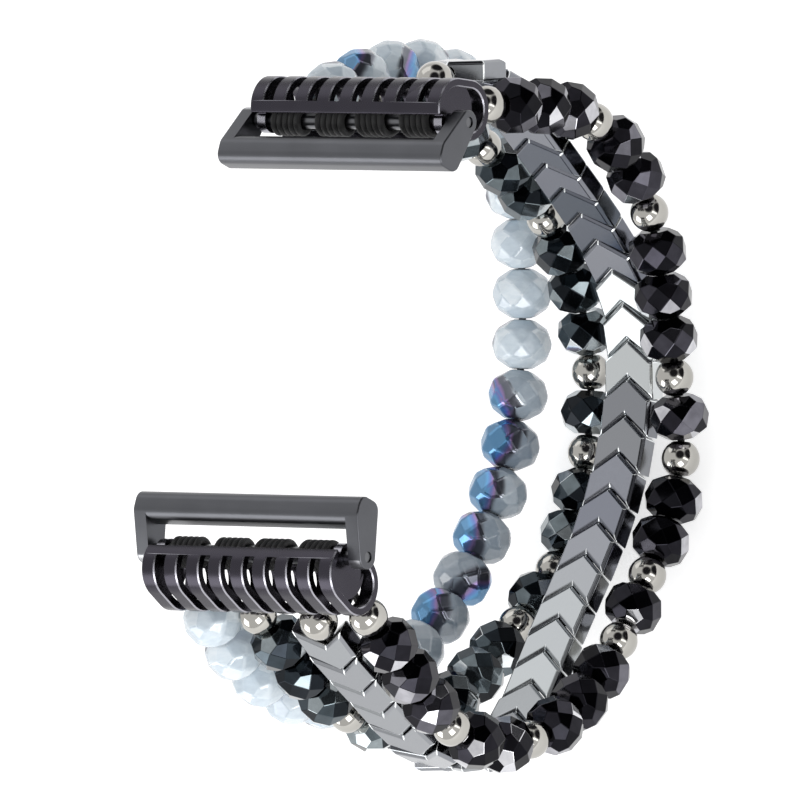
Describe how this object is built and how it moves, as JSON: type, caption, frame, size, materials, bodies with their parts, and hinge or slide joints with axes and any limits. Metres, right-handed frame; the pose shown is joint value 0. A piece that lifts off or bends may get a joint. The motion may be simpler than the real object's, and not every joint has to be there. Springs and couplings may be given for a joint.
{
  "type": "bead watch band",
  "caption": "Elastic watch band of four bead strands strung between two ribbed connector shells, each on a spring bar with a slide-in lug for a watch case.",
  "frame": {"origin": "middle of the watch seat: midway between the two lug rails, on their centre lines", "axes": "+X across the band, +Y towards the upper connector, +Z out through the watch's glass; the strands hang towards -Z"},
  "size_m": [0.0286, 0.0766, 0.0588],
  "materials": {
    "shell_steel": "dark ion-plated satin",
    "lug_steel": "fine satin",
    "spring_bar_steel": "polished",
    "spring_wire": "bright drawn wire",
    "elastic_cord": "black stretch cord",
    "jet_glass": "fire-polished black glass",
    "navy_glass": "fire-polished glass with a metallic blue-green coat",
    "opal_glass": "milky opal glass, half coated blue and violet",
    "silver_ball": "warm silver plate",
    "chevron_metal": "satin grey plate"
  },
  "bodies": {
    "lower_strands": {"lower_bar_sleeve": "spring_bar_steel", "lower_bar_spring": "spring_wire", "lower_cord_windings": "elastic_cord", "opal_beads_lower": "opal_glass", "navy_beads_lower": "navy_glass", "navy_balls_lower": "silver_ball", "jet_balls_lower": "silver_ball", "chevrons_lower": "chevron_metal", "chevron_ball_lower": "silver_ball", "opal_cord": "elastic_cord", "navy_cord": "elastic_cord", "chevron_cord": "elastic_cord", "jet_cord": "elastic_cord"},
    "upper_strands": {"upper_bar_sleeve": "spring_bar_steel", "upper_bar_spring": "spring_wire", "upper_cord_windings": "elastic_cord", "opal_beads_upper": "opal_glass", "navy_beads_upper": "navy_glass", "navy_balls_upper": "silver_ball", "jet_balls_upper": "silver_ball", "chevrons_upper": "chevron_metal", "chevron_ball_upper": "silver_ball"},
    "lower_lug": {"lower_lug": "lug_steel", "lower_latch_plug": "lug_steel", "lower_latch_spring": "spring_wire"},
    "upper_lug": {"upper_lug": "lug_steel", "upper_latch_plug": "lug_steel", "upper_latch_spring": "spring_wire"},
    "lower_shell": {"lower_shell": "shell_steel"},
    "upper_shell": {"upper_shell": "shell_steel"},
    "lower_latch_plunger": {"lower_latch_plunger": "spring_bar_steel"},
    "upper_latch_plunger": {"upper_latch_plunger": "spring_bar_steel"},
    "lower_bar_pin_left": {"lower_bar_pin_left": "spring_bar_steel"},
    "lower_bar_pin_right": {"lower_bar_pin_right": "spring_bar_steel"},
    "upper_bar_pin_left": {"upper_bar_pin_left": "spring_bar_steel"},
    "upper_bar_pin_right": {"upper_bar_pin_right": "spring_bar_steel"},
    "jet_bead_01": {"jet_bead_01": "jet_glass"},
    "jet_bead_02": {"jet_bead_02": "jet_glass"},
    "jet_bead_03": {"jet_bead_03": "jet_glass"},
    "jet_bead_04": {"jet_bead_04": "jet_glass"},
    "jet_bead_05": {"jet_bead_05": "jet_glass"},
    "jet_bead_06": {"jet_bead_06": "jet_glass"},
    "jet_bead_07": {"jet_bead_07": "jet_glass"},
    "jet_bead_08": {"jet_bead_08": "jet_glass"},
    "jet_bead_09": {"jet_bead_09": "jet_glass"},
    "jet_bead_10": {"jet_bead_10": "jet_glass"},
    "jet_bead_11": {"jet_bead_11": "jet_glass"},
    "jet_bead_12": {"jet_bead_12": "jet_glass"},
    "jet_bead_13": {"jet_bead_13": "jet_glass"},
    "jet_bead_14": {"jet_bead_14": "jet_glass"},
    "jet_bead_15": {"jet_bead_15": "jet_glass"},
    "jet_bead_16": {"jet_bead_16": "jet_glass"},
    "jet_bead_17": {"jet_bead_17": "jet_glass"},
    "jet_bead_18": {"jet_bead_18": "jet_glass"},
    "jet_bead_19": {"jet_bead_19": "jet_glass"},
    "jet_bead_20": {"jet_bead_20": "jet_glass"}
  },
  "joints": [
    {"name": "band_stretch", "type": "slide", "parent": "lower_strands", "child": "upper_strands", "axis": [0, 1, 0], "range_m": [0, 0.008], "stiffness_N_per_m": 600, "deforming": ["opal_cord", "navy_cord", "chevron_cord", "jet_cord"]},
    {"name": "lower_lug_pivot", "type": "hinge", "parent": "lower_strands", "child": "lower_lug", "pos_m": [0, -0.0232, -0.0016], "axis": [1, 0, 0], "range_deg": [-35, 35]},
    {"name": "upper_lug_pivot", "type": "hinge", "parent": "upper_strands", "child": "upper_lug", "pos_m": [0, 0.0232, -0.0016], "axis": [1, 0, 0], "range_deg": [-35, 35]},
    {"name": "lower_shell_pivot", "type": "hinge", "parent": "lower_strands", "child": "lower_shell", "pos_m": [0, -0.0232, -0.0016], "axis": [1, 0, 0], "range_deg": [-10, 10]},
    {"name": "upper_shell_pivot", "type": "hinge", "parent": "upper_strands", "child": "upper_shell", "pos_m": [0, 0.0232, -0.0016], "axis": [1, 0, 0], "range_deg": [-10, 10]},
    {"name": "lower_latch_press", "type": "slide", "parent": "lower_lug", "child": "lower_latch_plunger", "axis": [0, 0, 1], "range_m": [0, 0.00035], "stiffness_N_per_m": 300, "deforming": ["lower_latch_spring"]},
    {"name": "upper_latch_press", "type": "slide", "parent": "upper_lug", "child": "upper_latch_plunger", "axis": [0, 0, 1], "range_m": [0, 0.00035], "stiffness_N_per_m": 300, "deforming": ["upper_latch_spring"]},
    {"name": "lower_pin_left_retract", "type": "slide", "parent": "lower_strands", "child": "lower_bar_pin_left", "axis": [1, 0, 0], "range_m": [0, 0.00159], "stiffness_N_per_m": 300, "deforming": ["lower_bar_spring"]},
    {"name": "lower_pin_right_retract", "type": "slide", "parent": "lower_strands", "child": "lower_bar_pin_right", "axis": [-1, 0, 0], "range_m": [0, 0.00159], "stiffness_N_per_m": 300, "deforming": ["lower_bar_spring"]},
    {"name": "upper_pin_left_retract", "type": "slide", "parent": "upper_strands", "child": "upper_bar_pin_left", "axis": [1, 0, 0], "range_m": [0, 0.00159], "stiffness_N_per_m": 300, "deforming": ["upper_bar_spring"]},
    {"name": "upper_pin_right_retract", "type": "slide", "parent": "upper_strands", "child": "upper_bar_pin_right", "axis": [-1, 0, 0], "range_m": [0, 0.00159], "stiffness_N_per_m": 300, "deforming": ["upper_bar_spring"]},
    {"name": "jet_bead_01_spin", "type": "hinge", "parent": "lower_strands", "child": "jet_bead_01", "pos_m": [0.01039, -0.02871, -0.01275], "axis": [0.0536, -0.4131, -0.9091], "continuous": true},
    {"name": "jet_bead_02_spin", "type": "hinge", "parent": "lower_strands", "child": "jet_bead_02", "pos_m": [0.01053, -0.03056, -0.01691], "axis": [0.0078, -0.3992, -0.9168], "continuous": true},
    {"name": "jet_bead_03_spin", "type": "hinge", "parent": "lower_strands", "child": "jet_bead_03", "pos_m": [0.01052, -0.03218, -0.02127], "axis": [-0.0145, -0.2951, -0.9553], "continuous": true},
    {"name": "jet_bead_04_spin", "type": "hinge", "parent": "lower_strands", "child": "jet_bead_04", "pos_m": [0.01043, -0.033, -0.02968], "axis": [-0.0014, 0.1204, -0.9927], "continuous": true},
    {"name": "jet_bead_05_spin", "type": "hinge", "parent": "lower_strands", "child": "jet_bead_05", "pos_m": [0.01044, -0.03186, -0.03435], "axis": [0.004, 0.3511, -0.9363], "continuous": true},
    {"name": "jet_bead_06_spin", "type": "hinge", "parent": "lower_strands", "child": "jet_bead_06", "pos_m": [0.01046, -0.02732, -0.04147], "axis": [0, 0.6948, -0.7192], "continuous": true},
    {"name": "jet_bead_07_spin", "type": "hinge", "parent": "lower_strands", "child": "jet_bead_07", "pos_m": [0.01045, -0.02371, -0.04456], "axis": [-0.0012, 0.8183, -0.5748], "continuous": true},
    {"name": "jet_bead_08_spin", "type": "hinge", "parent": "lower_strands", "child": "jet_bead_08", "pos_m": [0.01045, -0.01963, -0.04694], "axis": [-0.0007, 0.9042, -0.4271], "continuous": true},
    {"name": "jet_bead_09_spin", "type": "hinge", "parent": "lower_strands", "child": "jet_bead_09", "pos_m": [0.01045, -0.01185, -0.04967], "axis": [0.0003, 0.967, -0.2548], "continuous": true},
    {"name": "jet_bead_10_spin", "type": "hinge", "parent": "lower_strands", "child": "jet_bead_10", "pos_m": [0.01045, -0.00396, -0.05155], "axis": [0.0001, 0.9796, -0.2008], "continuous": true},
    {"name": "jet_bead_11_spin", "type": "hinge", "parent": "upper_strands", "child": "jet_bead_11", "pos_m": [0.01045, 0.00071, -0.05212], "axis": [-0.0001, 0.9991, -0.0423], "continuous": true},
    {"name": "jet_bead_12_spin", "type": "hinge", "parent": "upper_strands", "child": "jet_bead_12", "pos_m": [0.01045, 0.00899, -0.05], "axis": [-0.0003, 0.8611, 0.5084], "continuous": true},
    {"name": "jet_bead_13_spin", "type": "hinge", "parent": "upper_strands", "child": "jet_bead_13", "pos_m": [0.01045, 0.01579, -0.04541], "axis": [0.0009, 0.8281, 0.5605], "continuous": true},
    {"name": "jet_bead_14_spin", "type": "hinge", "parent": "upper_strands", "child": "jet_bead_14", "pos_m": [0.01046, 0.01962, -0.04295], "axis": [0.0011, 0.8554, 0.5179], "continuous": true},
    {"name": "jet_bead_15_spin", "type": "hinge", "parent": "upper_strands", "child": "jet_bead_15", "pos_m": [0.01046, 0.02346, -0.04044], "axis": [-0.0005, 0.8166, 0.5772], "continuous": true},
    {"name": "jet_bead_16_spin", "type": "hinge", "parent": "upper_strands", "child": "jet_bead_16", "pos_m": [0.01043, 0.0293, -0.03435], "axis": [-0.004, 0.5261, 0.8504], "continuous": true},
    {"name": "jet_bead_17_spin", "type": "hinge", "parent": "upper_strands", "child": "jet_bead_17", "pos_m": [0.01043, 0.0313, -0.02996], "axis": [0.0022, 0.2983, 0.9545], "continuous": true},
    {"name": "jet_bead_18_spin", "type": "hinge", "parent": "upper_strands", "child": "jet_bead_18", "pos_m": [0.01052, 0.03174, -0.02147], "axis": [0.015, -0.1858, 0.9825], "continuous": true},
    {"name": "jet_bead_19_spin", "type": "hinge", "parent": "upper_strands", "child": "jet_bead_19", "pos_m": [0.01054, 0.03056, -0.01694], "axis": [-0.0078, -0.317, 0.9484], "continuous": true},
    {"name": "jet_bead_20_spin", "type": "hinge", "parent": "upper_strands", "child": "jet_bead_20", "pos_m": [0.0104, 0.02905, -0.01264], "axis": [-0.0535, -0.3449, 0.9371], "continuous": true}
  ]
}
